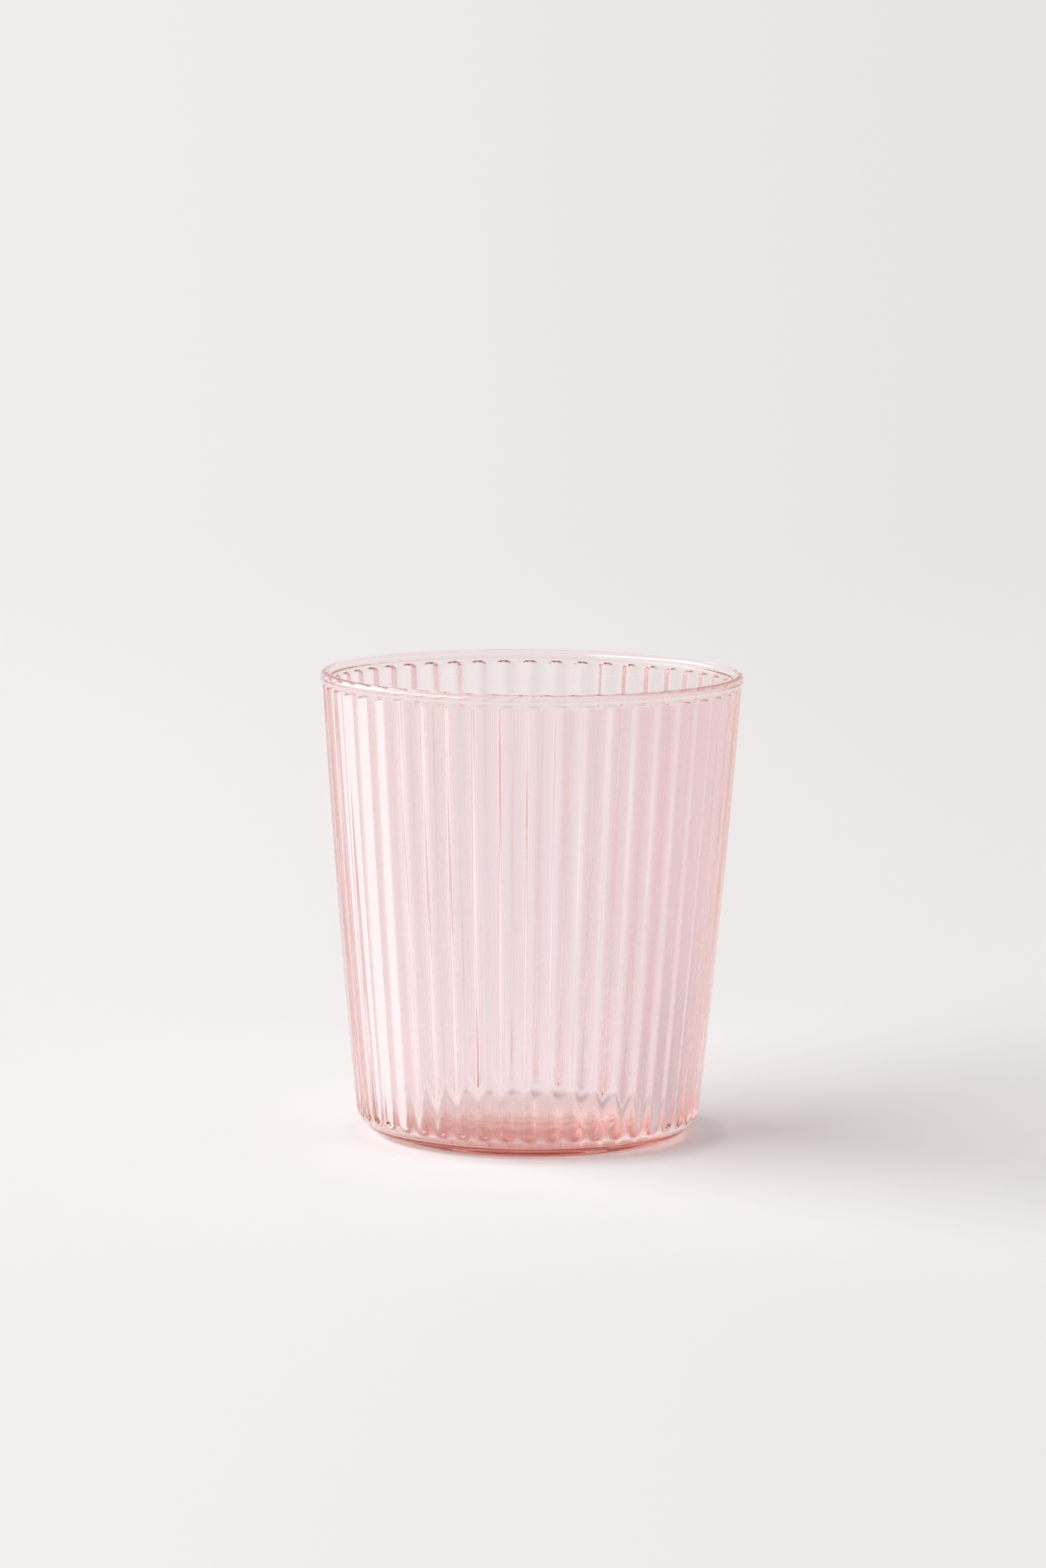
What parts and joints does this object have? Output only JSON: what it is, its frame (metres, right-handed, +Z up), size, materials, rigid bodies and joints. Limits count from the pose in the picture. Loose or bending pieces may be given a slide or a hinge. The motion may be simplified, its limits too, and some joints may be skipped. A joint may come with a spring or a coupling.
{
  "type": "juice glass",
  "caption": "Small tapered tumbler of tinted glass with upright flutes outside, a beaded rim, a rounded heel and a smooth inside.",
  "frame": {"origin": "centre of the base, on the surface that the glass stands on", "axes": "+Z up along the axis of the glass, towards the rim; one flute is centred on each of the X and Y axes"},
  "size_m": [0.08, 0.08, 0.088],
  "materials": {
    "tinted_glass": "clear pale rose glass, fire-polished, with soft edges and faint waves"
  },
  "bodies": {
    "root": {"glass_tumbler": "tinted_glass"}
  },
  "joints": []
}
